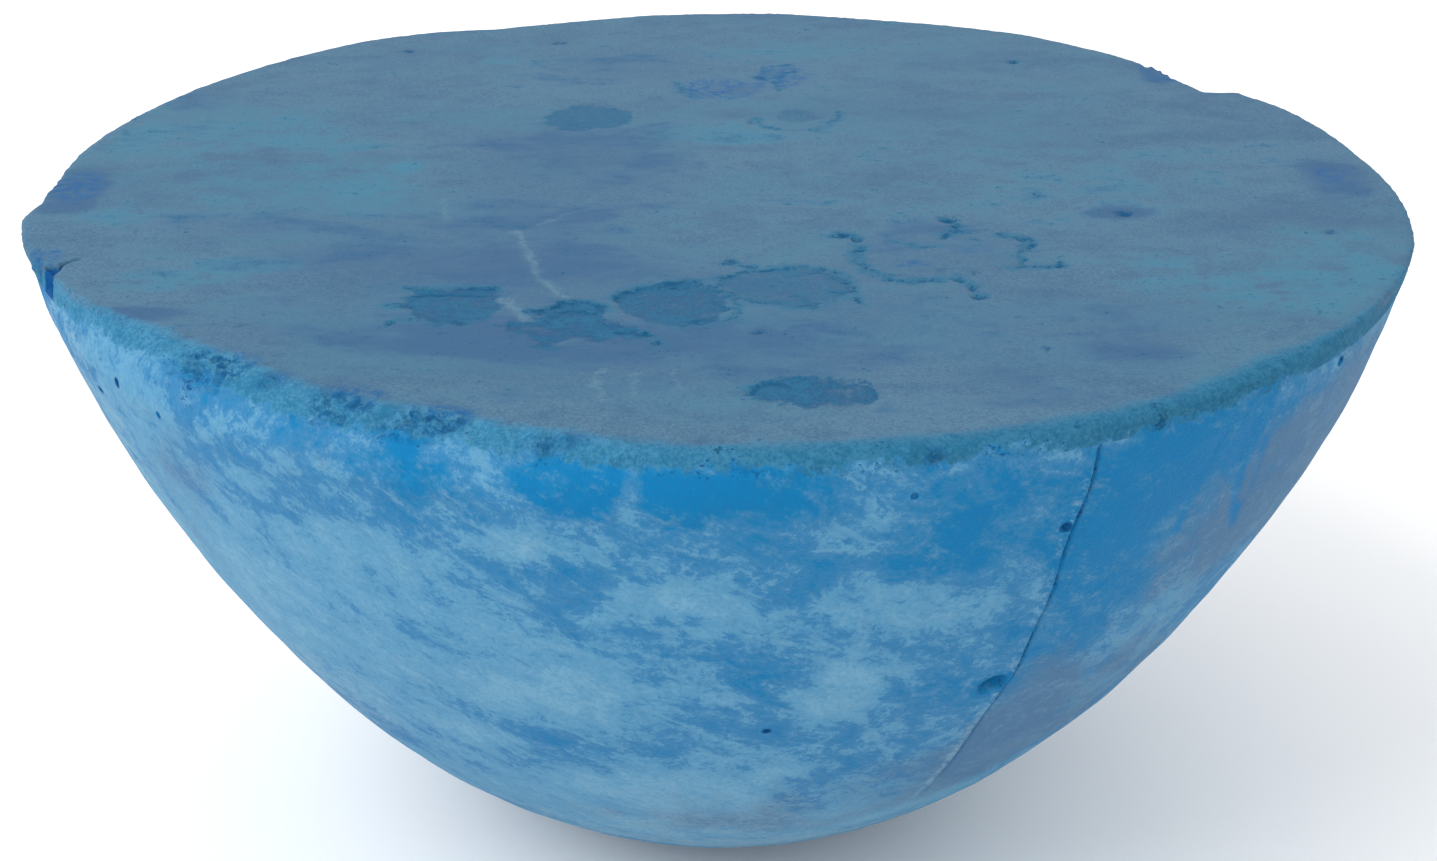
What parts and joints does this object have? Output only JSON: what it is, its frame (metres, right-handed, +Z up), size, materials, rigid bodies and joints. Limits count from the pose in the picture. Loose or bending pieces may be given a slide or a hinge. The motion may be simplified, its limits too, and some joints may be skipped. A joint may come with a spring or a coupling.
{
  "type": "air stone",
  "caption": "Half-dome porous air stone with a sealed flat face, a closed air chamber inside and a barbed hose nipple in its back wall.",
  "frame": {"origin": "middle of the small flat that the dome stands on", "axes": "+Z up through the middle of the flat face; +Y out along the hose nipple; +X to the right with the nipple at the back"},
  "size_m": [0.0998, 0.1066, 0.0495],
  "materials": {
    "porous_stone": "matt, cloudy blue bonded grain",
    "seal_skin": "trowelled, dull grey blue",
    "lid_plastic": "plain moulded sheet",
    "bond_resin": "cured clear amber resin",
    "nipple_plastic": "moulded, faint sheen"
  },
  "bodies": {
    "root": {"stone_dome": "porous_stone", "face_seal": "seal_skin", "chamber_lid": "lid_plastic", "lid_bond": "bond_resin", "inlet_nipple": "nipple_plastic", "nipple_bond": "bond_resin"}
  },
  "joints": []
}
